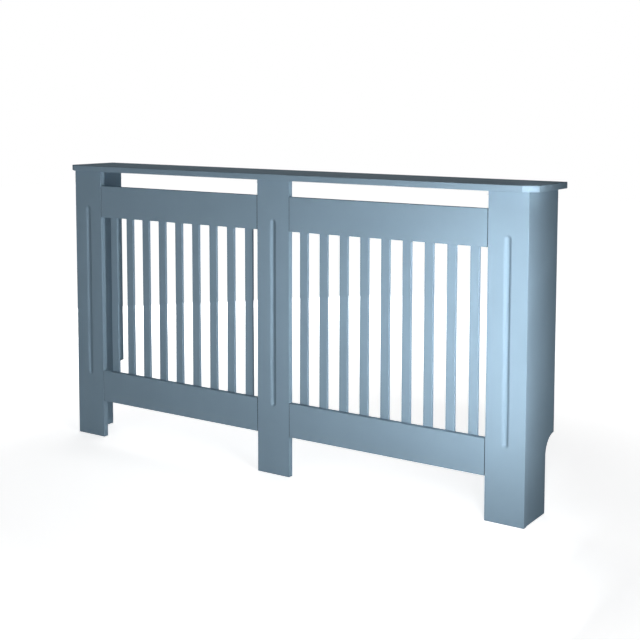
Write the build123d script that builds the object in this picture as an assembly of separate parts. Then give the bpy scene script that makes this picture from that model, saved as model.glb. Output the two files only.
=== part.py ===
from build123d import *
import math
import os

os.makedirs("parts", exist_ok=True)

# A radiator cover in painted board. Millimetres, +Z up, +X to the right along the front,
# +Y towards the wall. The origin is on the floor, under the middle of the shelf.

# Overall sizes and boards
shelf_length = 1520.0
shelf_depth = 190.0
total_height = 815.0
shelf_board = 16.0
post_board = 16.0
rail_board = 16.0
side_board = 16.0
front_overhang = 15.0
end_overhang = 21.0
clip_along_front = 32.0
clip_along_end = 24.0

# Posts and their flutes
post_width = 105.0
flute_width = 13.6
flute_depth = 5.3
flute_bottom_z = 189.0
flute_top_z = 693.0
flute_lip_radius = 8.0

# Rails and the openings above and below them
rail_width = 92.0
vent_slot = 43.0
bottom_gap = 110.0
shadow_gap = 1.5

# Slats
slat_count = 9
slat_width = 25.0
slat_thickness = 8.0
slat_housing_depth = 4.0
slat_lap = 30.0
slat_end_space = 27.0

# Side panels
side_inset = 2.0
notch_depth = 50.0
notch_height = 193.0

# Eased corners of the boards
shelf_ease = 1.5
board_ease = 1.0
slat_ease = 0.8

# How far a cut runs past an open face, and how near two places are when they are the same
cut_past = 1.0
same_place = 0.01

# Clearances
dowel_clearance = 0.05
screw_clearance = 0.05
housing_clearance = 0.15
plate_hole_clearance = 0.25
cam_running_clearance = 0.05
cam_bolt_clearance = 0.25

# Wooden dowels
dowel_radius = 4.0
dowel_length = 30.0
dowel_chamfer = 1.0
dowel_in_board_face = 10.0
dowel_end_space = 1.0
rail_dowel_from_edge = 20.0
side_dowel_count = 4
side_dowel_from_floor = 60.0
side_dowel_below_shelf = 69.0
shelf_dowel_from_front = 46.0
shelf_dowel_from_back = 45.0

# Cam nuts and bolts
cam_radius = 7.5
cam_depth = 12.3
cam_bore_depth = 12.6
cam_below_shelf = 34.0
cam_from_panel_front = 20.0
cam_step = 52.0
cam_cavity_radius = 6.1
cam_floor_space = 0.2
cam_slot_past_wall = 0.7
cam_head_radius = 3.5
cam_neck_radius = 2.0
cam_body_radius = 3.5
cam_head_start = 2.0
cam_head_length = 2.5
cam_neck_end = 9.5
cam_bore_extra = 0.5
cam_thread_radius = 2.5
cam_thread_length = 10.0
cam_turn = 180.0
cam_recess_length = 8.0
cam_recess_width = 1.6
cam_recess_depth = 1.8

# Screws
screw_radius = 1.75
screw_tip = 2.5
pan_head_radius = 3.4
pan_head_height = 2.2
pan_head_shoulder = 1.0
pan_head_flat_radius = 2.0
pan_screw_length = 12.0
countersunk_head_radius = 3.5
countersunk_head_height = 2.2
slat_screw_length = 16.0
slat_screw_from_end = 14.0
pilot_end_space = 0.6

# Steel plates and brackets
plate_length = 80.0
plate_width = 16.0
plate_thickness = 2.0
plate_corner = 3.0
plate_hole_from_end = 8.0
plate_hole_step = 18.0
plate_from_rail_edge = 30.0
bracket_leg = 40.0
bracket_width = 16.0
bracket_thickness = 2.0
bracket_bend = 3.0
bracket_hole_from_end = 8.0
bracket_hole_step = 17.0
wall_bracket_leg = 30.0
wall_bracket_height = 40.0
wall_bracket_below_shelf = 109.0
wall_hole_radius = 2.75
wall_hole_step = 20.0
wall_hole_from_corner = 18.0

# Places worked out from the sizes above
shelf_front_y = -shelf_depth / 2
wall_y = shelf_depth / 2
post_front_y = shelf_front_y + front_overhang
post_back_y = post_front_y + post_board
rail_back_y = post_front_y + rail_board
shelf_under_z = total_height - shelf_board
frame_width = shelf_length - 2 * end_overhang
post_step = (frame_width - post_width) / 2
opening_width = post_step - post_width
rail_length = opening_width - 2 * shadow_gap
top_rail_z = shelf_under_z - vent_slot - rail_width
bottom_rail_z = bottom_gap
side_outer_x = frame_width / 2 - side_inset
side_mid_x = side_outer_x - side_board / 2
side_inner_x = side_outer_x - side_board
slat_front_y = rail_back_y - slat_housing_depth
slat_back_y = slat_front_y + slat_thickness
slat_bottom_z = bottom_rail_z + rail_width - slat_lap
slat_top_z = top_rail_z + slat_lap
slat_step = (opening_width - 2 * slat_end_space - slat_width) / (slat_count - 1)
dowel_in_edge = dowel_length - dowel_in_board_face
wall_bracket_level = shelf_under_z - wall_bracket_below_shelf
cam_z = shelf_under_z - cam_below_shelf
cam_front_y = post_back_y + cam_from_panel_front
cam_ys = (cam_front_y, cam_front_y + cam_step)
shelf_dowel_ys = (post_back_y + shelf_dowel_from_front, wall_y - shelf_dowel_from_back)

SIDES = {"left": -1, "right": 1}
POST_PLACES = {"left": -post_step, "middle": 0.0, "right": post_step}
PANEL_PLACES = {"left": -post_step / 2, "right": post_step / 2}
RAIL_LEVELS = {"bottom": bottom_rail_z, "top": top_rail_z}


def box_between(low, high):
    """A plain board between two opposite corners."""
    size = [b - a for a, b in zip(low, high)]
    middle = [(a + b) / 2 for a, b in zip(low, high)]
    return Pos(*middle) * Box(*size)


def rod(start, direction, radius, length):
    """A round bar or hole from a point, along a direction."""
    return extrude(Plane(origin=start, z_dir=direction) * Circle(radius), amount=length)


def long_edges(board, axis, radius):
    """Ease the four edges of a board that run along one axis."""
    return fillet(board.edges().filter_by(axis), radius)


# Screws -----------------------------------------------------------------------------


def turned(profile, start, direction):
    """Turn a half profile of (radius, distance) points about a line through start."""
    face = make_face(Plane.XZ * Polyline(*profile, close=True))
    return Plane(origin=start, z_dir=direction) * revolve(face, axis=Axis.Z)


def pan_screw(seat, direction, length=pan_screw_length):
    """A pan-head screw: the underside of its head is at seat, its tip goes along direction."""
    profile = [
        (0, length),
        (screw_radius, length - screw_tip),
        (screw_radius, 0),
        (pan_head_radius, 0),
        (pan_head_radius, -pan_head_shoulder),
        (pan_head_flat_radius, -pan_head_height),
        (0, -pan_head_height),
    ]
    return turned(profile, seat, direction)


def countersunk_screw(face_point, direction, length=slat_screw_length):
    """A countersunk screw, its flat head flush with the face at face_point."""
    profile = [
        (0, length),
        (screw_radius, length - screw_tip),
        (screw_radius, countersunk_head_height),
        (countersunk_head_radius, 0),
        (0, 0),
    ]
    return turned(profile, face_point, direction)


def pilot(start, direction, depth):
    """The hole that a screw's thread is driven into."""
    return rod(start, direction, screw_radius + screw_clearance, depth + pilot_end_space)


# Where the joining hardware stands ---------------------------------------------------


def rail_ends():
    """Each rail end: its panel, its level's name, its side, and the post edge it meets."""
    for panel, middle in PANEL_PLACES.items():
        for level in RAIL_LEVELS:
            for side, sign in SIDES.items():
                yield panel, level, side, sign, middle + sign * opening_width / 2


def plate_height(level):
    """The middle of a joining plate, on the half of the rail away from the slats."""
    low = RAIL_LEVELS[level]
    if level == "top":
        return low + rail_width - plate_from_rail_edge
    return low + plate_from_rail_edge


def plate_hole_offsets():
    """The four holes of a joining plate, measured from its middle."""
    outer = plate_length / 2 - plate_hole_from_end
    return (-outer, -outer + plate_hole_step, outer - plate_hole_step, outer)


def rail_dowel_heights(level):
    """The heights of the two dowels in each end of a rail."""
    low = RAIL_LEVELS[level]
    return (low + rail_dowel_from_edge, low + rail_width - rail_dowel_from_edge)


def side_dowel_heights():
    """The heights of the dowels between a side panel and its post, evenly spread."""
    lowest = side_dowel_from_floor
    highest = shelf_under_z - side_dowel_below_shelf
    step = (highest - lowest) / (side_dowel_count - 1)
    return [lowest + i * step for i in range(side_dowel_count)]


def slat_places(panel):
    """The middle of each slat of one panel, from left to right."""
    first = PANEL_PLACES[panel] - opening_width / 2 + slat_end_space + slat_width / 2
    return [first + i * slat_step for i in range(slat_count)]


def bracket_hole_offsets():
    """The two holes in a bracket's leg, measured from its bend."""
    outer = bracket_leg - bracket_hole_from_end
    return (outer - bracket_hole_step, outer)


def wall_bracket_levels():
    """The heights of the two screws in each leg of a wall bracket."""
    half = wall_hole_step / 2
    return (wall_bracket_level - half, wall_bracket_level + half)


# Boards -------------------------------------------------------------------------------


def make_shelf():
    """The shelf: clipped front corners, holes underneath for bolts, dowels and screws."""
    x = shelf_length / 2
    outline = [
        (-x, wall_y),
        (-x, shelf_front_y + clip_along_end),
        (-x + clip_along_front, shelf_front_y),
        (x - clip_along_front, shelf_front_y),
        (x, shelf_front_y + clip_along_end),
        (x, wall_y),
    ]
    face = make_face(Polyline(*outline, close=True))
    shelf = Pos(0, 0, shelf_under_z) * extrude(face, amount=shelf_board)
    rims = shelf.edges().filter_by(Plane.XY)
    shelf = fillet(rims.filter_by(lambda e: e.center().Y < wall_y - same_place), shelf_ease)
    holes = []
    for sign in SIDES.values():
        for y in cam_ys:
            start = (sign * side_mid_x, y, shelf_under_z)
            reach = cam_thread_length + pilot_end_space
            holes.append(rod(start, (0, 0, 1), cam_thread_radius + screw_clearance, reach))
        for y in shelf_dowel_ys:
            start = (sign * side_mid_x, y, shelf_under_z)
            reach = dowel_in_board_face + dowel_end_space
            holes.append(rod(start, (0, 0, 1), dowel_radius + dowel_clearance, reach))
    for x_post in POST_PLACES.values():
        for along in bracket_hole_offsets():
            start = (x_post, post_back_y + along, shelf_under_z)
            holes.append(pilot(start, (0, 0, 1), pan_screw_length - bracket_thickness))
    return shelf - holes


def make_flute(x):
    """A routed flute: a round-nosed cut, run down the post, with its two round ends.

    Its width is the cut's own on the post's face, before its lips are rounded over.
    """
    half = flute_width / 2
    nose = (half**2 + flute_depth**2) / (2 * flute_depth)
    centre_y = post_front_y + flute_depth - nose
    low = flute_bottom_z + half
    high = flute_top_z - half
    run = rod((x, centre_y, low), (0, 0, 1), nose, high - low)
    ends = [Pos(x, centre_y, low), Pos(x, centre_y, high)]
    # The ends are lowered nose domes whose rim on the face is as wide as the run.
    return run + [place * Sphere(nose) for place in ends]


def make_post(name):
    """A front post with its flute, and holes for dowels, plates and brackets."""
    x = POST_PLACES[name]
    half = post_width / 2
    post = box_between((x - half, post_front_y, 0), (x + half, post_back_y, shelf_under_z))
    post = long_edges(post, Axis.Z, board_ease)
    post -= make_flute(x)
    post = fillet(post.edges().filter_by(lambda e: is_flute_lip(e, x)), flute_lip_radius)
    holes = []
    for panel, level, side, sign, edge_x in rail_ends():
        if abs(edge_x - x) > post_width:
            continue
        # The post is beyond the rail's end, so its holes run on in the same direction.
        for z in rail_dowel_heights(level):
            start = (edge_x, (post_front_y + rail_back_y) / 2, z)
            reach = dowel_length / 2 + dowel_end_space
            holes.append(rod(start, (sign, 0, 0), dowel_radius + dowel_clearance, reach))
        for offset in plate_hole_offsets():
            if offset * sign > 0:
                start = (edge_x + offset, post_back_y, plate_height(level))
                holes.append(pilot(start, (0, -1, 0), pan_screw_length - plate_thickness))
    if name in SIDES:
        for z in side_dowel_heights():
            start = (SIDES[name] * side_mid_x, post_back_y, z)
            reach = dowel_in_board_face + dowel_end_space
            holes.append(rod(start, (0, -1, 0), dowel_radius + dowel_clearance, reach))
    for down in bracket_hole_offsets():
        start = (x, post_back_y, shelf_under_z - down)
        holes.append(pilot(start, (0, -1, 0), pan_screw_length - bracket_thickness))
    return post - holes


def is_flute_lip(edge, x):
    """True for the rim of a flute on the post's front face."""
    box = edge.bounding_box()
    on_face = abs(box.min.Y - post_front_y) < same_place and abs(box.max.Y - post_front_y) < same_place
    within = abs(box.center().X - x) < flute_width and box.size.X < post_width / 2
    return on_face and within


def make_rail(panel, level):
    """A rail between two posts, with a shallow housing at its back for each slat's end."""
    middle = PANEL_PLACES[panel]
    low = RAIL_LEVELS[level]
    high = low + rail_width
    half = rail_length / 2
    rail = box_between((middle - half, post_front_y, low), (middle + half, rail_back_y, high))
    rail = long_edges(rail, Axis.X, board_ease)
    housing = slat_lap + housing_clearance
    if level == "top":
        ends = (low - cut_past, low + housing)
    else:
        ends = (high - housing, high + cut_past)
    cuts = []
    for x in slat_places(panel):
        reach = slat_width / 2 + housing_clearance
        near = (x - reach, slat_front_y, ends[0])
        far = (x + reach, rail_back_y + cut_past, ends[1])
        cuts.append(box_between(near, far))
        start = (x, slat_back_y, slat_screw_height(level))
        cuts.append(pilot(start, (0, -1, 0), slat_screw_length))
    for sign in SIDES.values():
        end_x = middle + sign * half
        post_edge_x = middle + sign * opening_width / 2
        for z in rail_dowel_heights(level):
            start = (end_x, (post_front_y + rail_back_y) / 2, z)
            reach = dowel_length / 2 - shadow_gap + dowel_end_space
            cuts.append(rod(start, (-sign, 0, 0), dowel_radius + dowel_clearance, reach))
        for offset in plate_hole_offsets():
            if offset * sign < 0:
                start = (post_edge_x + offset, rail_back_y, plate_height(level))
                cuts.append(pilot(start, (0, -1, 0), pan_screw_length - plate_thickness))
    return rail - cuts


def slat_screw_height(level):
    """The height of the screw in the end of a slat that lies on this rail."""
    if level == "top":
        return slat_top_z - slat_screw_from_end
    return slat_bottom_z + slat_screw_from_end


def make_slat(x):
    """A slat, with a countersunk hole near each end."""
    half = slat_width / 2
    slat = box_between((x - half, slat_front_y, slat_bottom_z), (x + half, slat_back_y, slat_top_z))
    slat = long_edges(slat, Axis.Z, slat_ease)
    for level in RAIL_LEVELS:
        start = (x, slat_back_y, slat_screw_height(level))
        slat -= rod(start, (0, -1, 0), screw_radius + screw_clearance, slat_thickness)
        cone = [
            (0, 0),
            (countersunk_head_radius + screw_clearance, 0),
            (screw_radius + screw_clearance, countersunk_head_height),
            (0, countersunk_head_height),
        ]
        slat -= turned(cone, start, (0, -1, 0))
    return slat


def make_side(name):
    """A side panel behind its post, cut away at the lower back round the skirting board."""
    sign = SIDES[name]
    outline = Polyline(
        (wall_y, notch_height),
        (wall_y, shelf_under_z),
        (post_back_y, shelf_under_z),
        (post_back_y, 0),
        (wall_y - notch_depth, 0),
        (wall_y - notch_depth, notch_height - notch_depth),
    )
    centre = (wall_y, notch_height - notch_depth)
    quarter = CenterArc(centre, notch_depth, 90, 90)
    face = make_face([outline, quarter])
    across = Plane(origin=(0, 0, 0), x_dir=(0, 1, 0), z_dir=(1, 0, 0))
    panel = Pos(sign * side_mid_x - side_board / 2, 0, 0) * extrude(across * face, amount=side_board)
    uprights = panel.edges().filter_by(Axis.Z)
    panel = fillet(uprights.filter_by(lambda e: e.center().Y > wall_y - same_place), board_ease)
    cuts = []
    inner_x = sign * side_inner_x
    for y in cam_ys:
        bore_start = (inner_x, y, cam_z)
        cuts.append(rod(bore_start, (sign, 0, 0), cam_radius, cam_bore_depth))
        bolt_start = (sign * side_mid_x, y, cam_z)
        cuts.append(rod(bolt_start, (0, 0, 1), cam_body_radius + cam_bore_extra, cam_below_shelf))
    for y in shelf_dowel_ys:
        start = (sign * side_mid_x, y, shelf_under_z)
        reach = dowel_in_edge + dowel_end_space
        cuts.append(rod(start, (0, 0, -1), dowel_radius + dowel_clearance, reach))
    for z in side_dowel_heights():
        start = (sign * side_mid_x, post_back_y, z)
        reach = dowel_in_edge + dowel_end_space
        cuts.append(rod(start, (0, 1, 0), dowel_radius + dowel_clearance, reach))
    for z in wall_bracket_levels():
        start = (inner_x, wall_y - wall_hole_from_corner, z)
        cuts.append(pilot(start, (sign, 0, 0), pan_screw_length - bracket_thickness))
    return panel - cuts


# Cam fittings ---------------------------------------------------------------------------


def make_cam(name, y):
    """A cam nut, locked. Its slot lets it turn half a turn round the bolt's neck."""
    sign = SIDES[name]
    place = Plane(origin=(sign * side_inner_x, y, cam_z), x_dir=(0, 0, 1), z_dir=(sign, 0, 0))
    bolt_depth = side_board / 2
    radius = cam_radius - cam_running_clearance
    head = cam_head_radius + cam_bolt_clearance
    neck = cam_neck_radius + cam_bolt_clearance
    cam = extrude(Circle(radius), amount=cam_depth)
    floor = bolt_depth - head - cam_floor_space
    cam -= Pos(0, 0, floor) * extrude(Circle(cam_cavity_radius), amount=cam_depth)
    slot_inner = cam_cavity_radius - cam_slot_past_wall
    slot_outer = radius + cam_slot_past_wall
    strip = Pos((slot_inner + slot_outer) / 2, bolt_depth) * Rectangle(slot_outer - slot_inner, 2 * neck)
    slot_end = math.degrees(math.asin(neck / slot_inner))
    slot = revolve(Plane.XZ * strip, axis=Axis.Z, revolution_arc=cam_turn + slot_end)
    cam -= Rot(0, 0, -slot_end) * slot
    way_in = (math.cos(math.radians(cam_turn)), math.sin(math.radians(cam_turn)), 0)
    cam -= rod((0, 0, bolt_depth), way_in, head, 2 * radius)
    for turn in (0, 90):
        recess = Box(cam_recess_length, cam_recess_width, 2 * cam_recess_depth)
        cam -= Rot(0, 0, turn) * recess
    return place * cam


def make_cam_bolt(sign, y):
    """A cam bolt: head in the cam, thin neck, body in the panel's edge, thread in the shelf."""
    head_end = cam_head_start + cam_head_length
    profile = [
        (0, cam_head_start),
        (cam_head_radius, cam_head_start),
        (cam_head_radius, head_end),
        (cam_neck_radius, head_end),
        (cam_neck_radius, cam_neck_end),
        (cam_body_radius, cam_neck_end),
        (cam_body_radius, cam_below_shelf),
        (cam_thread_radius, cam_below_shelf),
        (cam_thread_radius, cam_below_shelf + cam_thread_length),
        (0, cam_below_shelf + cam_thread_length),
    ]
    return turned(profile, (sign * side_mid_x, y, cam_z), (0, 0, 1))


# Dowels, plates and brackets --------------------------------------------------------------


def dowel(start, direction):
    """A wooden dowel with chamfered ends."""
    end_radius = dowel_radius - dowel_chamfer
    profile = [
        (0, 0),
        (end_radius, 0),
        (dowel_radius, dowel_chamfer),
        (dowel_radius, dowel_length - dowel_chamfer),
        (end_radius, dowel_length),
        (0, dowel_length),
    ]
    return turned(profile, start, direction)


def make_side_dowels(sign):
    start_y = post_back_y - dowel_in_board_face
    return [dowel((sign * side_mid_x, start_y, z), (0, 1, 0)) for z in side_dowel_heights()]


def make_shelf_dowels():
    start_z = shelf_under_z + dowel_in_board_face
    return [
        dowel((sign * side_mid_x, y, start_z), (0, 0, -1))
        for sign in SIDES.values()
        for y in shelf_dowel_ys
    ]


def make_rail_dowels(panel):
    y = (post_front_y + rail_back_y) / 2
    return [
        dowel((edge_x - sign * dowel_length / 2, y, z), (sign, 0, 0))
        for where, level, side, sign, edge_x in rail_ends()
        if where == panel
        for z in rail_dowel_heights(level)
    ]


def make_plate(level, edge_x):
    """A flat steel joining plate across the joint of a rail and a post."""
    z = plate_height(level)
    half = plate_length / 2
    low = (edge_x - half, rail_back_y, z - plate_width / 2)
    high = (edge_x + half, rail_back_y + plate_thickness, z + plate_width / 2)
    plate = fillet(box_between(low, high).edges().filter_by(Axis.Y), plate_corner)
    for offset in plate_hole_offsets():
        plate -= rod((edge_x + offset, rail_back_y, z), (0, 1, 0), hole_radius(), plate_thickness)
    return plate


def hole_radius():
    """A screw hole in a steel plate or bracket."""
    return screw_radius + plate_hole_clearance


def make_plate_screws():
    seat_y = rail_back_y + plate_thickness
    return [
        pan_screw((edge_x + offset, seat_y, plate_height(level)), (0, -1, 0))
        for panel, level, side, sign, edge_x in rail_ends()
        for offset in plate_hole_offsets()
    ]


def bent_leg_profile(leg_a, leg_b, thickness, bend):
    """The L of a bent bracket, its outer corner at the origin, its legs along +x and +y."""
    corner = [(0, 0), (leg_a, 0), (leg_a, thickness), (thickness, thickness)]
    corner += [(thickness, leg_b), (0, leg_b)]
    angle = make_face(Polyline(*corner, close=True))
    angle = fillet(corner_at(angle, 0), bend)
    return fillet(corner_at(angle, thickness), bend - thickness)


def corner_at(angle, place):
    """The outer or inner corner of an angle's profile, on the line halfway between its legs."""
    return angle.vertices().filter_by(
        lambda v: abs(v.X - place) < same_place and abs(v.Y - place) < same_place
    )


def make_shelf_bracket(x):
    """A steel angle under the shelf: one leg on the post's back, one on the shelf."""
    angle = bent_leg_profile(bracket_leg, bracket_leg, bracket_thickness, bracket_bend)
    # Local x runs back along the shelf, local y runs down the post.
    edge = (x + bracket_width / 2, post_back_y, shelf_under_z)
    across = Plane(origin=edge, x_dir=(0, 1, 0), z_dir=(-1, 0, 0))
    bracket = extrude(across * angle, amount=bracket_width)
    for along in bracket_hole_offsets():
        shelf_hole = (x, post_back_y + along, shelf_under_z)
        post_hole = (x, post_back_y, shelf_under_z - along)
        bracket -= rod(shelf_hole, (0, 0, -1), hole_radius(), bracket_thickness)
        bracket -= rod(post_hole, (0, 1, 0), hole_radius(), bracket_thickness)
    return bracket


def make_shelf_bracket_screws():
    screws = []
    for x in POST_PLACES.values():
        for along in bracket_hole_offsets():
            under = (x, post_back_y + along, shelf_under_z - bracket_thickness)
            behind = (x, post_back_y + bracket_thickness, shelf_under_z - along)
            screws.append(pan_screw(under, (0, 0, 1)))
            screws.append(pan_screw(behind, (0, -1, 0)))
    return screws


def make_wall_bracket(name):
    """A steel angle in the corner of a side panel and the wall."""
    sign = SIDES[name]
    inner_x = sign * side_inner_x
    angle = bent_leg_profile(wall_bracket_leg, wall_bracket_leg, bracket_thickness, bracket_bend)
    # Local x runs from the side panel inwards along the wall, local y runs forwards.
    level = wall_bracket_level - wall_bracket_height / 2
    low = Plane(origin=(inner_x, wall_y, level), x_dir=(-sign, 0, 0), z_dir=(0, 0, sign))
    bracket = extrude(low * angle, amount=sign * wall_bracket_height)
    for z in wall_bracket_levels():
        wall_hole = (inner_x - sign * wall_hole_from_corner, wall_y, z)
        side_hole = (inner_x, wall_y - wall_hole_from_corner, z)
        bracket -= rod(wall_hole, (0, -1, 0), wall_hole_radius, bracket_thickness)
        bracket -= rod(side_hole, (-sign, 0, 0), hole_radius(), bracket_thickness)
    return bracket


def make_wall_bracket_screws():
    seat_x = side_inner_x - bracket_thickness
    seat_y = wall_y - wall_hole_from_corner
    return [
        pan_screw((sign * seat_x, seat_y, z), (sign, 0, 0))
        for sign in SIDES.values()
        for z in wall_bracket_levels()
    ]


def make_slat_screws(panel):
    return [
        countersunk_screw((x, slat_back_y, slat_screw_height(level)), (0, -1, 0))
        for x in slat_places(panel)
        for level in RAIL_LEVELS
    ]


# The assembly ------------------------------------------------------------------------------


def all_parts():
    """Every node of the cabinet, by name."""
    parts = {"top_shelf": make_shelf()}
    for name in POST_PLACES:
        parts[f"{name}_post"] = make_post(name)
    for name in SIDES:
        parts[f"{name}_side_panel"] = make_side(name)
    for panel in PANEL_PLACES:
        for level in RAIL_LEVELS:
            parts[f"{panel}_{level}_rail"] = make_rail(panel, level)
        for number, x in enumerate(slat_places(panel), start=1):
            parts[f"{panel}_slat_{number}"] = make_slat(x)
        parts[f"{panel}_slat_screws"] = Compound(children=make_slat_screws(panel))
        parts[f"{panel}_rail_dowels"] = Compound(children=make_rail_dowels(panel))
    for name, sign in SIDES.items():
        for place, y in zip(("front", "back"), cam_ys):
            parts[f"{name}_{place}_cam_nut"] = make_cam(name, y)
        parts[f"{name}_side_dowels"] = Compound(children=make_side_dowels(sign))
        parts[f"{name}_wall_bracket"] = make_wall_bracket(name)
    bolts = [make_cam_bolt(sign, y) for sign in SIDES.values() for y in cam_ys]
    parts["cam_bolts"] = Compound(children=bolts)
    parts["shelf_dowels"] = Compound(children=make_shelf_dowels())
    for panel, level, side, sign, edge_x in rail_ends():
        parts[f"{panel}_panel_{level}_{side}_plate"] = make_plate(level, edge_x)
    for name, x in POST_PLACES.items():
        parts[f"{name}_shelf_bracket"] = make_shelf_bracket(x)
    parts["plate_screws"] = Compound(children=make_plate_screws())
    parts["shelf_bracket_screws"] = Compound(children=make_shelf_bracket_screws())
    parts["wall_bracket_screws"] = Compound(children=make_wall_bracket_screws())
    return parts


for node, shape in all_parts().items():
    export_step(shape, f"parts/{node}.step")
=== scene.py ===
import bpy
import numpy as np
from mathutils import Matrix, Vector


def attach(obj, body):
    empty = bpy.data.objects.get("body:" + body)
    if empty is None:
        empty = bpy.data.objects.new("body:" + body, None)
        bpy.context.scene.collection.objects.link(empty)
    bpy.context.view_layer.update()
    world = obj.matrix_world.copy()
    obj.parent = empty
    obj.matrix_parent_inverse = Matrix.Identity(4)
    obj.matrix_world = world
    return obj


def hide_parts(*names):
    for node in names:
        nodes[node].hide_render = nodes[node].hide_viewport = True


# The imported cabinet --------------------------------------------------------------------
# The cabinet stands on the floor, its grilles facing -Y and its shelf's back edge at the wall.
# All lengths are metres, and a piece's place is in its mesh.

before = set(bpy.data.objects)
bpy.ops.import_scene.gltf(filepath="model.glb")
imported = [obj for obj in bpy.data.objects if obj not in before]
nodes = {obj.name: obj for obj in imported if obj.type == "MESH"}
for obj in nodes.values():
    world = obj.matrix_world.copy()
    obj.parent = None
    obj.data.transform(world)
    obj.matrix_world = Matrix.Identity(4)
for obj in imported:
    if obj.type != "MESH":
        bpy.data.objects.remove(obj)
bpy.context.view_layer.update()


# Side panels ---------------------------------------------------------------------------
# Two panels of 16 mm fibreboard behind the outer posts, cut away at the back for the skirting
# board. Their faces are sanded along the length of the sheet, primed, then sprayed with a
# blue-grey paint that dries to a fine orange peel and is thinner on the eased edges. Those edges
# are painted paler, partly for the thin paint and partly as a painted highlight, and gaps and
# corners are painted darker as painted shade.

SIDES = ("left", "right")
PAINT_COLOUR = (0.205, 0.292, 0.366)
PAINT_THIN = 0.972
PAINT_THICK = 1.028
PAINT_EDGE_HIGHLIGHT_COLOUR = (0.240, 0.335, 0.412)
PAINT_EASED_EDGE = 0.0011
PAINT_ROUGHNESS = (0.665, 0.735)
PAINT_SPECULAR = 0.02
SHADE_NOISE = {"Scale": 9.0, "Detail": 3.0, "Roughness": 0.55}
PEEL_NOISE = {"Detail": 1.5, "Roughness": 0.4}
PEEL_SIZE = 0.0016
PEEL_DEPTH = 0.000018
SANDING_PITCH = 0.0007
SANDING_SHARE = 0.22
SANDING_STRETCH = 0.03
LINES_ROUGHNESS = 0.7
JOINT_SHADE_COLOUR = (0.012, 0.017, 0.022)
JOINT_SHADE_REACH = 0.004
JOINT_SHADE_SAMPLES = 12
EDGE_SAMPLES = 6
# The values between which nearly all of a noise lies.
NOISE_SPAN = (0.3, 0.7)
# The cosine of the normal's turn where an edge starts to show, and where it shows in full.
EDGE_TURN = (0.995, 0.86)
# How open a spot's surroundings are where the painted shade in a joint starts, and where it is
# darkest.
JOINT_SHADE_OPENNESS = (0.70, 0.35)


def shader_node(tree, kind, inputs=(), **settings):
    """One shader node in a tree, with its settings by name and its input values by name."""
    node = tree.nodes.new("ShaderNode" + kind)
    for name, value in settings.items():
        setattr(node, name, value)
    for name, value in dict(inputs).items():
        node.inputs[name].default_value = value
    return node


def new_group(name, inputs, outputs):
    """An empty shader group with named float inputs and named outputs, and its two end nodes."""
    group = bpy.data.node_groups.new(name, "ShaderNodeTree")
    for label, value in inputs.items():
        socket = group.interface.new_socket(label, in_out="INPUT", socket_type="NodeSocketFloat")
        socket.default_value = value
    for label, kind in outputs.items():
        group.interface.new_socket(label, in_out="OUTPUT", socket_type="NodeSocket" + kind)
    return group, group.nodes.new("NodeGroupInput"), group.nodes.new("NodeGroupOutput")


def place_group(tree, group, inputs):
    """One use of a shader group in a material, with that material's own values."""
    node = tree.nodes.new("ShaderNodeGroup")
    node.node_tree = group
    for name, value in inputs.items():
        node.inputs[name].default_value = value
    return node


def new_material(name, **constants):
    """A material with a Principled shader whose plain values are set on its own sockets."""
    material = bpy.data.materials.new(name)
    material.use_nodes = True
    shader = material.node_tree.nodes["Principled BSDF"]
    for label, value in constants.items():
        shader.inputs[label.replace("_", " ")].default_value = value
    return material, material.node_tree, shader


def spread(tree, value, low, high, lowest=0.0, highest=1.0):
    """A value that runs from low to high, carried over to lowest to highest."""
    settings = {"From Min": low, "From Max": high, "To Min": lowest, "To Max": highest}
    node = shader_node(tree, "MapRange", settings)
    tree.links.new(value, node.inputs["Value"])
    return node.outputs["Result"]


def blend_colours(tree, share, first, second):
    """A colour that goes from the first to the second with a share of 0 to 1."""
    node = shader_node(tree, "Mix", data_type="RGBA")
    tree.links.new(share, node.inputs[0])
    for socket, colour in ((node.inputs[6], first), (node.inputs[7], second)):
        if isinstance(colour, tuple):
            socket.default_value = (*colour, 1)
        else:
            tree.links.new(colour, socket)
    return node.outputs[2]


def raise_surface(tree, shader, height, depth, normal=None):
    """Bumps a shader's surface by a height of 0 to 1 times a depth, over a given normal."""
    bump = shader_node(tree, "Bump", {"Strength": 1.0, "Distance": depth})
    tree.links.new(height, bump.inputs["Height"])
    if normal is not None:
        tree.links.new(normal, bump.inputs["Normal"])
    tree.links.new(bump.outputs["Normal"], shader.inputs["Normal"])


def make_eased_edges():
    """Eased edges: the normal rolls over each edge, and Edge is 1 where it has turned most."""
    outputs = {"Edge": "Float", "Normal": "Vector"}
    group, given, made = new_group("eased_edges", {"Radius": 0.001}, outputs)
    link = group.links.new
    rounded = shader_node(group, "Bevel", samples=EDGE_SAMPLES)
    link(given.outputs["Radius"], rounded.inputs["Radius"])
    link(rounded.outputs["Normal"], made.inputs["Normal"])
    flat = shader_node(group, "NewGeometry")
    turn = shader_node(group, "VectorMath", operation="DOT_PRODUCT")
    link(rounded.outputs["Normal"], turn.inputs[0])
    link(flat.outputs["Normal"], turn.inputs[1])
    link(spread(group, turn.outputs["Value"], *EDGE_TURN), made.inputs["Edge"])
    return group


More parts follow.
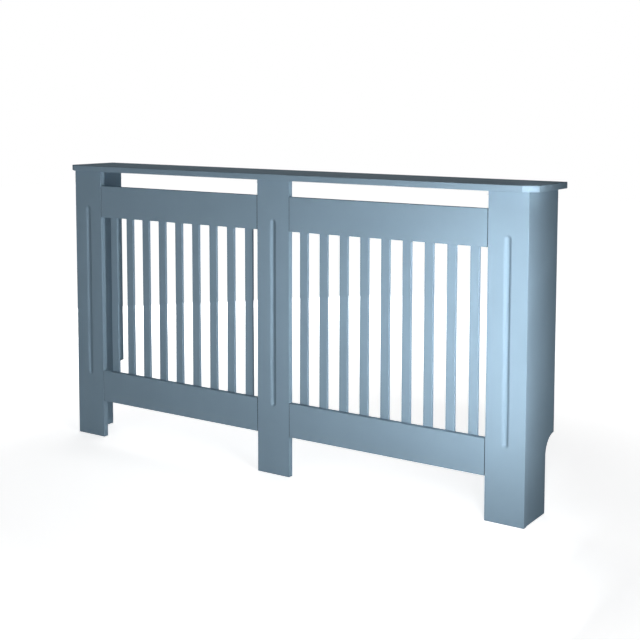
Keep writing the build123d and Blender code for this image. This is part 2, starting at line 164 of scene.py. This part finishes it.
def make_drawn_lines():
    """Fine lines drawn out along one axis: noise on coordinates that are squeezed on that axis."""
    inputs = {"Along X": 1.0, "Along Y": 1.0, "Along Z": 1.0, "Pitch": 0.001, "Detail": 2.0}
    group, given, made = new_group("drawn_lines", inputs, {"Lines": "Float"})
    link = group.links.new
    place = shader_node(group, "TexCoord")
    along = shader_node(group, "CombineXYZ")
    for axis in "XYZ":
        link(given.outputs["Along " + axis], along.inputs[axis])
    drawn_out = shader_node(group, "VectorMath", operation="MULTIPLY")
    link(place.outputs["Object"], drawn_out.inputs[0])
    link(along.outputs["Vector"], drawn_out.inputs[1])
    per_metre = shader_node(group, "Math", {0: 1.0}, operation="DIVIDE")
    link(given.outputs["Pitch"], per_metre.inputs[1])
    lines = shader_node(group, "TexNoise", {"Roughness": LINES_ROUGHNESS})
    link(drawn_out.outputs["Vector"], lines.inputs["Vector"])
    link(per_metre.outputs["Value"], lines.inputs["Scale"])
    link(given.outputs["Detail"], lines.inputs["Detail"])
    link(lines.outputs["Fac"], made.inputs["Lines"])
    return group


def make_sprayed_paint():
    """Sprayed paint: Shade is a slow cloud a hand wide, Peel a smooth noise of rounded cells."""
    outputs = {"Shade": "Float", "Peel": "Float"}
    group, given, made = new_group("sprayed_paint", {"Peel Size": 0.001}, outputs)
    link = group.links.new
    place = shader_node(group, "TexCoord")
    clouds = shader_node(group, "TexNoise", SHADE_NOISE)
    link(place.outputs["Object"], clouds.inputs["Vector"])
    link(spread(group, clouds.outputs["Fac"], *NOISE_SPAN), made.inputs["Shade"])
    per_metre = shader_node(group, "Math", {0: 1.0}, operation="DIVIDE")
    link(given.outputs["Peel Size"], per_metre.inputs[1])
    peel = shader_node(group, "TexNoise", PEEL_NOISE)
    link(place.outputs["Object"], peel.inputs["Vector"])
    link(per_metre.outputs["Value"], peel.inputs["Scale"])
    link(peel.outputs["Fac"], made.inputs["Peel"])
    return group


def make_painted_joint_shade():
    """Painted shade where faces meet: Joint is 1 deep between close faces, about a half in a corner,
    else 0.
    """
    group, given, made = new_group("painted_joint_shade", {"Reach": 0.003}, {"Joint": "Float"})
    link = group.links.new
    openness = shader_node(group, "AmbientOcclusion", samples=JOINT_SHADE_SAMPLES)
    link(given.outputs["Reach"], openness.inputs["Distance"])
    link(spread(group, openness.outputs["AO"], *JOINT_SHADE_OPENNESS), made.inputs["Joint"])
    return group


eased_edges = make_eased_edges()
painted_joint_shade = make_painted_joint_shade()
drawn_lines = make_drawn_lines()
sprayed_paint = make_sprayed_paint()


def lines_along(axis, stretch):
    """The drawn_lines group's own values for lines along one axis."""
    return {"Along " + each: stretch if each == axis else 1.0 for each in "XYZ"}


def make_board_paint(name, axis):
    """The blue-grey paint on a board whose length runs along one axis, with a painted highlight on
    its eased edges and painted shade where faces meet.
    """
    material, tree, shader = new_material(name, Specular_IOR_Level=PAINT_SPECULAR)
    film = place_group(tree, sprayed_paint, {"Peel Size": PEEL_SIZE})
    edges = place_group(tree, eased_edges, {"Radius": PAINT_EASED_EDGE})
    scratches = {**lines_along(axis, SANDING_STRETCH), "Pitch": SANDING_PITCH}
    sanding = place_group(tree, drawn_lines, scratches)
    thin = tuple(PAINT_THIN * channel for channel in PAINT_COLOUR)
    thick = tuple(PAINT_THICK * channel for channel in PAINT_COLOUR)
    coat = blend_colours(tree, film.outputs["Shade"], thin, thick)
    # The eased edges take a paler colour: partly thin paint, and partly a painted highlight.
    edge_highlighted = blend_colours(tree, edges.outputs["Edge"], coat, PAINT_EDGE_HIGHLIGHT_COLOUR)
    # Gaps and corners are painted darker: painted shade where faces meet.
    joint_shade = place_group(tree, painted_joint_shade, {"Reach": JOINT_SHADE_REACH})
    shaded = blend_colours(tree, joint_shade.outputs["Joint"], edge_highlighted, JOINT_SHADE_COLOUR)
    tree.links.new(shaded, shader.inputs["Base Color"])
    gloss = spread(tree, film.outputs["Peel"], *NOISE_SPAN, *PAINT_ROUGHNESS)
    tree.links.new(gloss, shader.inputs["Roughness"])
    height = shader_node(tree, "Math", {1: SANDING_SHARE}, operation="MULTIPLY_ADD")
    tree.links.new(sanding.outputs["Lines"], height.inputs[0])
    tree.links.new(film.outputs["Peel"], height.inputs[2])
    raise_surface(tree, shader, height.outputs["Value"], PEEL_DEPTH, edges.outputs["Normal"])
    return material


def dress(node, material):
    """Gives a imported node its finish."""
    for slot in nodes[node].material_slots:
        slot.material = material


upright_paint = make_board_paint("upright_board_paint", "Z")
for side in SIDES:
    dress(f"{side}_side_panel", upright_paint)


# Posts ---------------------------------------------------------------------------------
# Three upright boards of 16 mm fibreboard, each with one round-bottomed flute routed down its
# middle. They are glued to the side panels and the rails with dowels, and painted all round.

for place in ("left", "middle", "right"):
    dress(f"{place}_post", upright_paint)


# Rails ---------------------------------------------------------------------------------
# Four boards laid level between the posts, with a thin shadow gap at each end and shallow
# housings at the back for the slats. They have the posts' paint, sanded along their length.

level_paint = make_board_paint("level_board_paint", "X")
for side in SIDES:
    for level in ("bottom", "top"):
        dress(f"{side}_{level}_rail", level_paint)


# Slats ---------------------------------------------------------------------------------
# Nine thin upright strips in each grille, let into the backs of the rails and held by a screw
# at each end. They are sprayed before they are fitted, so their edges are painted too.

SLATS_IN_GRILLE = 9
for side in SIDES:
    for number in range(1, SLATS_IN_GRILLE + 1):
        dress(f"{side}_slat_{number}", upright_paint)


# Shelf ---------------------------------------------------------------------------------
# One long board with its front corners clipped, standing over the front and both ends. Cam
# bolts and dowels hold it to the side panels, and steel angles hold it to the posts.

dress("top_shelf", level_paint)


# Joining plates and brackets -----------------------------------------------------------
# Flat plates behind the rail ends and bent angles under the shelf and at the wall, pressed
# from 2 mm steel and electroplated with bright zinc, which dries in faint clouds over the
# fine lines that the rolling mill left.

ZINC_COLOUR = (0.60, 0.61, 0.62)
ZINC_CLOUD_COLOUR = (0.52, 0.53, 0.56)
ZINC_ROUGHNESS = (0.26, 0.38)
ZINC_CLOUD_SIZE = 0.007
CLOUD_NOISE = {"Detail": 4.0, "Roughness": 0.55}
CLOUD_SPAN = (0.32, 0.68)
ROLLING_PITCH = 0.0004
ROLLING_STRETCH = 0.02
ROLLING_DEPTH = 0.000006
ZINC_EASED_EDGE = 0.0003


def make_plated_clouds():
    """Clouds in a metal skin: soft noise whose finer sizes are weaker, spread over 0 to 1."""
    group, given, made = new_group("plated_clouds", {"Cloud Size": 0.01}, {"Clouds": "Float"})
    link = group.links.new
    place = shader_node(group, "TexCoord")
    per_metre = shader_node(group, "Math", {0: 1.0}, operation="DIVIDE")
    link(given.outputs["Cloud Size"], per_metre.inputs[1])
    clouds = shader_node(group, "TexNoise", CLOUD_NOISE)
    link(place.outputs["Object"], clouds.inputs["Vector"])
    link(per_metre.outputs["Value"], clouds.inputs["Scale"])
    link(spread(group, clouds.outputs["Fac"], *CLOUD_SPAN), made.inputs["Clouds"])
    return group


plated_clouds = make_plated_clouds()


def make_zinc(name, colours, roughness, cloud_size, lines, depth, eased):
    """A zinc skin on metal: clouds in its colour and gloss, fine lines or grain, and eased edges."""
    material, tree, shader = new_material(name, Metallic=1.0)
    skin = place_group(tree, plated_clouds, {"Cloud Size": cloud_size})
    edges = place_group(tree, eased_edges, {"Radius": eased})
    marks = place_group(tree, drawn_lines, lines)
    colour = blend_colours(tree, skin.outputs["Clouds"], *colours)
    tree.links.new(colour, shader.inputs["Base Color"])
    gloss = spread(tree, skin.outputs["Clouds"], 0.0, 1.0, *roughness)
    tree.links.new(gloss, shader.inputs["Roughness"])
    raise_surface(tree, shader, marks.outputs["Lines"], depth, edges.outputs["Normal"])
    return material


zinc_colours = (ZINC_COLOUR, ZINC_CLOUD_COLOUR)
rolled = {**lines_along("X", ROLLING_STRETCH), "Pitch": ROLLING_PITCH}
plate_zinc = make_zinc(
    "zinc_plated_steel", zinc_colours, ZINC_ROUGHNESS, ZINC_CLOUD_SIZE,
    rolled, ROLLING_DEPTH, ZINC_EASED_EDGE,
)
for side in SIDES:
    dress(f"{side}_wall_bracket", plate_zinc)
    for level in ("bottom", "top"):
        for end in SIDES:
            dress(f"{side}_panel_{level}_{end}_plate", plate_zinc)
for place in ("left", "middle", "right"):
    dress(f"{place}_shelf_bracket", plate_zinc)


# Cam nuts ------------------------------------------------------------------------------
# Four drums cast in zinc alloy, let into the side panels' inner faces just under the shelf.
# Each has a cross recess for the driver, and turns half a turn to grip or free its bolt. The
# casting is left as it comes from the die: dull, and a little grainy.

CAST_COLOURS = ((0.50, 0.50, 0.49), (0.40, 0.40, 0.40))
CAST_ROUGHNESS = (0.42, 0.58)
CAST_CLOUD_SIZE = 0.0025
CAST_GRAIN = {"Pitch": 0.0006, "Detail": 4.0}
CAST_DEPTH = 0.00003
CAST_EASED_EDGE = 0.0004

cast_zinc = make_zinc(
    "cast_zinc", CAST_COLOURS, CAST_ROUGHNESS, CAST_CLOUD_SIZE,
    CAST_GRAIN, CAST_DEPTH, CAST_EASED_EDGE,
)
for side in SIDES:
    for end in ("front", "back"):
        dress(f"{side}_{end}_cam_nut", cast_zinc)


# Pan-head screws -----------------------------------------------------------------------
# 3.5 x 12 mm wood screws in the plates and brackets: a domed head with a sunk cross for the
# driver, and a coarse rolled thread down to a point. Cold formed from wire, and zinc plated.

SCREW_RADIUS = 0.00175
SCREW_CORE = 0.00115
SCREW_PITCH = 0.0016
SCREW_TIP = 0.0025
SCREW_COLUMNS = 40
ROWS_A_PITCH = 5
# How much of a pitch lies between the thread's crest and its foot.
THREAD_SHARE = 0.3
PAN_RADIUS = 0.0034
PAN_HEIGHT = 0.0022
PAN_FULLNESS = 2.4
PAN_LENGTH = 0.0120
HEAD_ROWS = 20
RIM_ROWS = 2
CROSS_HALF_WIDTH = 0.00058
CROSS_WALL = 0.00016
CROSS_REACH = 0.0020
CROSS_RUN = 0.0011
CROSS_DEPTH = 0.0013
WIRE_GRAIN = {"Pitch": 0.0003, "Detail": 2.0}
WIRE_EASED_EDGE = 0.0001
# Corners that agree to a millionth of a metre are one spot.
SPOT_DECIMALS = 6
# In radians, the least angle that is shaded sharp, and how far each copy is turned on.
SHARP_ABOVE = 0.7
TURN_A_COPY = 2.4


def loose_boxes(node):
    """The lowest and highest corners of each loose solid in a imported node.

    Corners at one spot are joined, each takes the lowest number that its edges reach, and a
    solid's box is the least and the greatest of the spots that share a number.
    """
    mesh = nodes[node].data
    places = np.empty(3 * len(mesh.vertices))
    mesh.vertices.foreach_get("co", places)
    places = places.reshape(-1, 3).round(SPOT_DECIMALS)
    spots, spot_of = np.unique(places, axis=0, return_inverse=True)
    ends = np.empty(2 * len(mesh.edges), int)
    mesh.edges.foreach_get("vertices", ends)
    ends = spot_of.ravel()[ends].reshape(-1, 2)
    number = np.arange(len(spots))
    while (number[ends[:, 0]] != number[ends[:, 1]]).any():
        least = number[ends].min(axis=1)
        np.minimum.at(number, ends[:, 0], least)
        np.minimum.at(number, ends[:, 1], least)
        number = number[number]
    solids, solid_of = np.unique(number, return_inverse=True)
    low = np.full((len(solids), 3), np.inf)
    high = np.full((len(solids), 3), -np.inf)
    np.minimum.at(low, solid_of, spots)
    np.maximum.at(high, solid_of, spots)
    return low, high


def driven_places(node):
    """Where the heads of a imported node's fasteners are, and the way that each was driven in.

    A fastener lies along its box's longest side. Its head is at the end that can be reached from
    inside the cabinet: towards the middle across it, at the back along its depth, and below.
    """
    low, high = loose_boxes(node)
    middle, size = (low + high) / 2, high - low
    lengthwise = np.eye(3)[size.argmax(axis=1)]
    reached_from = np.ones_like(middle)
    reached_from[:, 0] = -np.sign(middle[:, 0])
    reached_from[:, 2] = -1
    facing = lengthwise * reached_from
    return middle + facing * size / 2, -facing


def angles_round(columns):
    """Even angles round a circle, one for each column of a turned piece."""
    return np.linspace(0, 2 * np.pi, columns, endpoint=False)


def turned(radius, depth, angle):
    """Rings of a turned piece: x and y go round at the radius and the angle, z is the depth."""
    return np.stack([radius * np.cos(angle), radius * np.sin(angle), depth + 0 * angle], axis=-1)


def thread_coil(depths, angle, core, crest, pitch):
    """The radius of a threaded shank, by depth and angle.

    It is the core, plus a ridge that peaks once in each pitch and moves on a pitch in each turn.
    """
    wave = (depths[:, None] / pitch - angle / (2 * np.pi)) % 1
    ridge = np.clip(1 - abs(wave - 0.5) / THREAD_SHARE, 0, 1)
    return core + (crest - core) * ridge


def screw_rings(head_radius, head_depth, head_height, length):
    """The rings of a cross-recess screw, from the middle of its head to its point.

    The head's rings have the given radii and depths, and inside the rim they sink where a point
    lies within an arm's width and its reach, with sloping walls. The shank is a thread coil that
    narrows to nothing over the length of the tip.
    """
    angle = angles_round(SCREW_COLUMNS)
    end = head_height + length
    rows = int(length / SCREW_PITCH * ROWS_A_PITCH)
    depths = np.linspace(head_height, end, rows)
    taper = np.clip((end - depths) / SCREW_TIP, 0, 1)[:, None]
    shank = taper * thread_coil(depths, angle, SCREW_CORE, SCREW_RADIUS, SCREW_PITCH)
    radius = np.vstack([head_radius[:, None] + 0 * angle, shank])
    rings = turned(radius, np.concatenate([head_depth, depths])[:, None], angle)
    from_axes = abs(rings[..., :2])
    within_width = np.clip((CROSS_HALF_WIDTH - from_axes.min(axis=-1)) / CROSS_WALL, 0, 1)
    within_reach = np.clip((CROSS_REACH - from_axes.max(axis=-1)) / CROSS_RUN, 0, 1)
    inside_rim = np.arange(len(rings))[:, None] < HEAD_ROWS - RIM_ROWS
    rings[..., 2] += CROSS_DEPTH * within_width * within_reach * inside_rim
    return rings


def drive_in(name, rings, tops, ways, sharp_above=SHARP_ABOVE):
    """Copies of one turned piece: each point is its top plus x across, y aside and z the way in.

    The rings close round the columns, the first and last shrink to one point each, and each copy
    is turned on from the one before it by a fixed angle.
    """
    rows, columns = rings.shape[:2]
    inner = (rows - 2) * columns
    local = np.vstack([rings[0, :1], rings[1:-1].reshape(-1, 3), rings[-1, :1]])
    turn = np.arange(len(tops))[:, None] * TURN_A_COPY
    driven_along_x = ways[:, :1] != 0
    across = np.where(driven_along_x, [[0.0, 1.0, 0.0]], [[1.0, 0.0, 0.0]])
    aside = np.cross(ways, across)
    axes = np.stack([
        np.cos(turn) * across + np.sin(turn) * aside,
        np.cos(turn) * aside - np.sin(turn) * across,
        ways,
    ], axis=1)
    points = (tops[:, None] + local @ axes).reshape(-1, 3)

    ring = 1 + np.arange(inner).reshape(rows - 2, columns)
    after = np.roll(ring, -1, axis=1)
    walls = np.stack([ring[:-1], after[:-1], after[1:], ring[1:]], axis=-1).reshape(-1, 4)
    top = np.stack([0 * ring[0], after[0], ring[0]], axis=-1)
    bottom = np.stack([ring[-1], after[-1], 0 * ring[-1] + inner + 1], axis=-1)
    first = (np.arange(len(tops)) * len(local))[:, None, None]
    faces = (first + walls).reshape(-1, 4).tolist()
    faces += (first + np.vstack([top, bottom])).reshape(-1, 3).tolist()

    mesh = bpy.data.meshes.new(name)
    mesh.from_pydata(points.tolist(), [], faces)
    mesh.polygons.foreach_set("use_smooth", np.ones(len(mesh.polygons), bool))
    mesh.set_sharp_from_angle(angle=sharp_above)
    piece = bpy.data.objects.new(name, mesh)
    bpy.context.scene.collection.objects.link(piece)
    return piece


def stand_for(piece, node, material):
    """Gives a piece its finish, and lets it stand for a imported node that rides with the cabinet."""
    piece.data.materials.append(material)
    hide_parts(node)
    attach(piece, "cabinet")


def pan_head():
    """The radii and depths of a pan head's rings: a quarter of a superellipse, from top to rim."""
    sweep = np.linspace(0, np.pi / 2, HEAD_ROWS)
    radius = PAN_RADIUS * np.sin(sweep) ** (2 / PAN_FULLNESS)
    depth = PAN_HEIGHT * (1 - abs(np.cos(sweep)) ** (2 / PAN_FULLNESS))
    return radius, depth


screw_zinc = make_zinc(
    "zinc_plated_wire", zinc_colours, ZINC_ROUGHNESS, SCREW_RADIUS,
    WIRE_GRAIN, ROLLING_DEPTH, WIRE_EASED_EDGE,
)
pan_screw = screw_rings(*pan_head(), PAN_HEIGHT, PAN_LENGTH)
for screws in ("plate_screws", "shelf_bracket_screws", "wall_bracket_screws"):
    piece = drive_in(f"pan_head_{screws}", pan_screw, *driven_places(screws))
    stand_for(piece, screws, screw_zinc)


# Countersunk screws --------------------------------------------------------------------
# One 3.5 x 16 mm screw at each end of each slat, driven from behind until its flat head lies
# level with the slat's back. Made as the pan-head screws are.

SUNK_RADIUS = 0.0035
SUNK_HEIGHT = 0.0022
SUNK_LENGTH = 0.0138
SUNK_RIM = 0.00015


def sunk_head():
    """The radii and depths of a flat head's rings: out to the rim, then one straight down."""
    flat = np.linspace(0, SUNK_RADIUS - SUNK_RIM, HEAD_ROWS - 1)
    return np.append(flat, flat[-1]), np.append(0 * flat, SUNK_RIM)


sunk_screw = screw_rings(*sunk_head(), SUNK_HEIGHT, SUNK_LENGTH)
for side in SIDES:
    screws = f"{side}_slat_screws"
    piece = drive_in(f"countersunk_{screws}", sunk_screw, *driven_places(screws))
    stand_for(piece, screws, screw_zinc)


# Cam bolts -----------------------------------------------------------------------------
# Four turned steel bolts that hang from the shelf: a thread up into the shelf, a stout body
# in the panel's edge, and a thin neck with a round head that the cam nut grips. Zinc plated.

BOLT_THREAD_START = 0.0320
BOLT_THREAD_LENGTH = 0.0100
BOLT_THREAD_CORE = 0.0018
BOLT_THREAD_CREST = 0.0025
BOLT_THREAD_ROWS = 50
BOLT_PITCH = 0.0020
# The radius and the depth at each step of the turned part, from the head that the cam grips.
BOLT_TURNS = (
    (0.0, 0.0), (0.0024, 0.0), (0.0032, 0.0003), (0.0035, 0.0009), (0.0035, 0.0018),
    (0.0030, 0.0025), (0.0020, 0.0025), (0.0020, 0.0075), (0.0028, 0.0075), (0.0035, 0.0085),
    (0.0035, 0.0314), (0.0030, 0.0320),
)


def bolt_rings():
    """The rings of a cam bolt: its turned steps, then a thread coil that ends flat."""
    angle = angles_round(SCREW_COLUMNS)
    step_radius, step_depth = np.array(BOLT_TURNS).T[..., None]
    depths = BOLT_THREAD_START + np.linspace(0, BOLT_THREAD_LENGTH, BOLT_THREAD_ROWS)
    coil = thread_coil(depths, angle, BOLT_THREAD_CORE, BOLT_THREAD_CREST, BOLT_PITCH)
    radius = np.vstack([step_radius + 0 * angle, coil, 0 * angle])
    depth = np.vstack([step_depth, depths[:, None], depths[-1:, None]])
    return turned(radius, depth, angle)


piece = drive_in("turned_cam_bolts", bolt_rings(), *driven_places("cam_bolts"))
stand_for(piece, "cam_bolts", screw_zinc)


# Dowels --------------------------------------------------------------------------------
# 8 x 30 mm beech pegs glued into the rail ends, the side panels and the shelf. Straight flutes
# pressed down their length let the glue out, and both ends are bevelled. The wood is bare, pink
# brown, with short dark rays along the grain.

DOWEL_RADIUS = 0.0040
DOWEL_LENGTH = 0.0300
DOWEL_BEVEL = 0.0010
DOWEL_FLUTES = 16
DOWEL_FLUTE_DEPTH = 0.00035
DOWEL_COLUMNS = 96
DOWEL_SHARP_ABOVE = 0.5
BEECH_COLOURS = ((0.62, 0.44, 0.27), (0.52, 0.34, 0.19))
BEECH_RAY_COLOUR = (0.34, 0.19, 0.09)
BEECH_GRAIN = {"Pitch": 0.0009, "Detail": 3.0}
BEECH_RAYS = {"Pitch": 0.0005, "Detail": 1.0}
BEECH_STRETCH = 0.07
BEECH_DEPTH = 0.00004
BEECH_ROUGHNESS = 0.6
BEECH_STREAK_SPAN = (0.35, 0.65)
# The noise where a ray starts to show and where it is plain, and its colour's share at both.
BEECH_RAY_SPAN = (0.62, 0.72, 0.0, 0.7)


def make_beech(axis):
    """Bare beech with its grain along one axis: warm streaks, and short dark rays over them."""
    material, tree, shader = new_material(f"beech_along_{axis.lower()}", Roughness=BEECH_ROUGHNESS)
    grain = place_group(tree, drawn_lines, {**lines_along(axis, BEECH_STRETCH), **BEECH_GRAIN})
    rays = place_group(tree, drawn_lines, {**lines_along(axis, BEECH_STRETCH), **BEECH_RAYS})
    warmth = spread(tree, grain.outputs["Lines"], *BEECH_STREAK_SPAN)
    streaks = blend_colours(tree, warmth, *BEECH_COLOURS)
    flecks = spread(tree, rays.outputs["Lines"], *BEECH_RAY_SPAN)
    colour = blend_colours(tree, flecks, streaks, BEECH_RAY_COLOUR)
    tree.links.new(colour, shader.inputs["Base Color"])
    raise_surface(tree, shader, grain.outputs["Lines"], BEECH_DEPTH)
    return material


def dowel_rings():
    """The rings of a fluted dowel: a bevel, a straight run and a bevel, less the flutes.

    The flutes take a share of the radius: a raised cosine, squared, with sixteen even peaks.
    """
    angle = angles_round(DOWEL_COLUMNS)
    far = DOWEL_LENGTH - DOWEL_BEVEL
    near_end = np.array([0, 0, DOWEL_BEVEL / 2, DOWEL_BEVEL])
    depth = np.concatenate([near_end, DOWEL_LENGTH - near_end[::-1]])
    inset = np.maximum(DOWEL_BEVEL - depth, depth - far).clip(0)
    outline = (DOWEL_RADIUS - inset) * np.array([0, 1, 1, 1, 1, 1, 1, 0])
    flutes = DOWEL_FLUTE_DEPTH / DOWEL_RADIUS * (0.5 + 0.5 * np.cos(DOWEL_FLUTES * angle)) ** 2
    return turned(outline[:, None] * (1 - flutes), depth[:, None], angle)


dowel = dowel_rings()
beech = {axis: make_beech(axis) for axis in "XYZ"}
DOWEL_GRAINS = {
    "left_rail_dowels": "X", "right_rail_dowels": "X",
    "left_side_dowels": "Y", "right_side_dowels": "Y", "shelf_dowels": "Z",
}
for dowels, axis in DOWEL_GRAINS.items():
    piece = drive_in(f"fluted_{dowels}", dowel, *driven_places(dowels), DOWEL_SHARP_ABOVE)
    stand_for(piece, dowels, beech[axis])


# Studio --------------------------------------------------------------------------------
# A pale floor and a white background, seen from the photograph's place. Tall lamps stand close
# to the right end, two of them with grids, and a small one catches the shelf's clipped corner.
# A long low lamp fills the front, and two more light the back and the shelf.

IMAGE_SIDE = 640
FOCAL_PIXELS = 1144.17
SHIFT_RIGHT_PIXELS = 40
SHIFT_DOWN_PIXELS = 117
SENSOR = 36.0
# Where the camera stands, and its turns in radians.
CAMERA_PLACE = (1.8264233, -2.5081604, 0.9992638)
CAMERA_YAW = 0.5685
CAMERA_PITCH = -0.0858
CAMERA_ROLL = 0.0044
# How much of the white surroundings' light falls on the cabinet.
FILL = 0.08
FLOOR_REACH = 9.0
FLOOR_DROP = 0.0002
FLOOR_COLOUR = (0.8, 0.8, 0.8, 1)
FLOOR_ROUGHNESS = 0.9
FLOOR_GLOW = 0.68
# How far from the cabinet's middle the floor starts to pale, and where it is white.
GLOW_RISES_FROM = 0.8
GLOW_FULL_AT = 1.6
# Each lamp's place, the spot it faces, its width and height, the angle of its grid, with 180
# for no grid, and its watts.
LAMPS = {
    "right_key": ((1.05, -0.70, 0.45), (0.0, -0.70, 0.45), 0.15, 0.70, 180, 6.0),
    "right_close": ((0.90, -0.25, 0.45), (0.0, -0.25, 0.45), 0.05, 0.70, 180, 1.1),
    "right_high": ((0.95, -0.35, 0.66), (0.0, -0.35, 0.66), 0.08, 0.28, 180, 0.6),
    "right_grid": ((1.30, -0.60, 0.50), (-0.69, -0.08, 0.50), 0.15, 0.70, 50, 1.1),
    "post_grid": ((1.00, -0.42, 0.50), (0.60, -0.08, 0.50), 0.10, 0.70, 60, 0.7),
    "corner_grid": ((1.00, -0.43, 0.87), (0.750, -0.083, 0.812), 0.04, 0.03, 14, 0.012),
    "front_fill": ((0.0, -2.8, 0.66), (0.0, 0.0, 0.66), 2.5, 0.28, 180, 21.5),
    "back_fill": ((-2.0, 1.8, 0.42), (0.0, 0.1, 0.42), 2.0, 0.76, 180, 42.0),
    "back_high": ((-0.4, 1.2, 1.7), (0.0, 0.1, 0.5), 1.2, 0.50, 180, 5.0),
}

lens = bpy.data.cameras.new("camera")
lens.sensor_width = SENSOR
lens.lens = FOCAL_PIXELS / IMAGE_SIDE * SENSOR
lens.shift_x = -SHIFT_RIGHT_PIXELS / IMAGE_SIDE
lens.shift_y = -SHIFT_DOWN_PIXELS / IMAGE_SIDE
camera = bpy.data.objects.new("camera", lens)
bpy.context.scene.collection.objects.link(camera)
camera.matrix_world = (
    Matrix.Translation(CAMERA_PLACE)
    @ Matrix.Rotation(CAMERA_YAW, 4, "Z")
    @ Matrix.Rotation(np.pi / 2 + CAMERA_PITCH, 4, "X")
    @ Matrix.Rotation(CAMERA_ROLL, 4, "Z")
)
bpy.context.scene.camera = camera


def seen_rays(tree):
    """1 on a ray from the camera or off a gloss or glass surface, 0 on light that only fills."""
    path = shader_node(tree, "LightPath")
    mirrored = shader_node(tree, "Math", operation="MAXIMUM")
    tree.links.new(path.outputs["Is Glossy Ray"], mirrored.inputs[0])
    tree.links.new(path.outputs["Is Transmission Ray"], mirrored.inputs[1])
    seen = shader_node(tree, "Math", operation="MAXIMUM")
    tree.links.new(path.outputs["Is Camera Ray"], seen.inputs[0])
    tree.links.new(mirrored.outputs["Value"], seen.inputs[1])
    return seen.outputs["Value"]


world = bpy.data.worlds.new("studio")
bpy.context.scene.world = world
world.use_nodes = True
sky = world.node_tree.nodes["Background"]
sky.inputs["Color"].default_value = (1, 1, 1, 1)
strength = spread(world.node_tree, seen_rays(world.node_tree), 0.0, 1.0, FILL, 1.0)
world.node_tree.links.new(strength, sky.inputs["Strength"])

floor_mesh = bpy.data.meshes.new("floor")
corners = [(-1, -1), (1, -1), (1, 1), (-1, 1)]
corners = [(x * FLOOR_REACH, y * FLOOR_REACH, -FLOOR_DROP) for x, y in corners]
floor_mesh.from_pydata(corners, [], [(0, 1, 2, 3)])
floor = bpy.data.objects.new("floor", floor_mesh)
bpy.context.scene.collection.objects.link(floor)
# Near the cabinet the floor glows a little below white, so that its shadow shows.
floor_paint, tree, shader = new_material(
    "floor_paint", Base_Color=FLOOR_COLOUR, Roughness=FLOOR_ROUGHNESS, Specular_IOR_Level=0.0
)
shader.inputs["Emission Color"].default_value = (1, 1, 1, 1)
place = shader_node(tree, "TexCoord")
away = shader_node(tree, "VectorMath", operation="LENGTH")
tree.links.new(place.outputs["Object"], away.inputs[0])
rise = spread(tree, away.outputs["Value"], GLOW_RISES_FROM, GLOW_FULL_AT, FLOOR_GLOW, 1.0)
glow = shader_node(tree, "Math", operation="MULTIPLY")
tree.links.new(seen_rays(tree), glow.inputs[0])
tree.links.new(rise, glow.inputs[1])
tree.links.new(glow.outputs["Value"], shader.inputs["Emission Strength"])
floor_mesh.materials.append(floor_paint)

for name, (place, aim, width, height, grid, watts) in LAMPS.items():
    lamp = bpy.data.lights.new(name, "AREA")
    lamp.shape = "RECTANGLE"
    lamp.size = width
    lamp.size_y = height
    lamp.spread = np.radians(grid)
    lamp.energy = watts
    holder = bpy.data.objects.new(name, lamp)
    bpy.context.scene.collection.objects.link(holder)
    holder.location = place
    holder.rotation_euler = (Vector(aim) - Vector(place)).to_track_quat("-Z", "Y").to_euler()
    holder.visible_camera = False
# The zinc at the back would mirror this long lamp as plain white.
bpy.data.objects["back_fill"].visible_glossy = False

bpy.context.scene.view_settings.view_transform = "Standard"
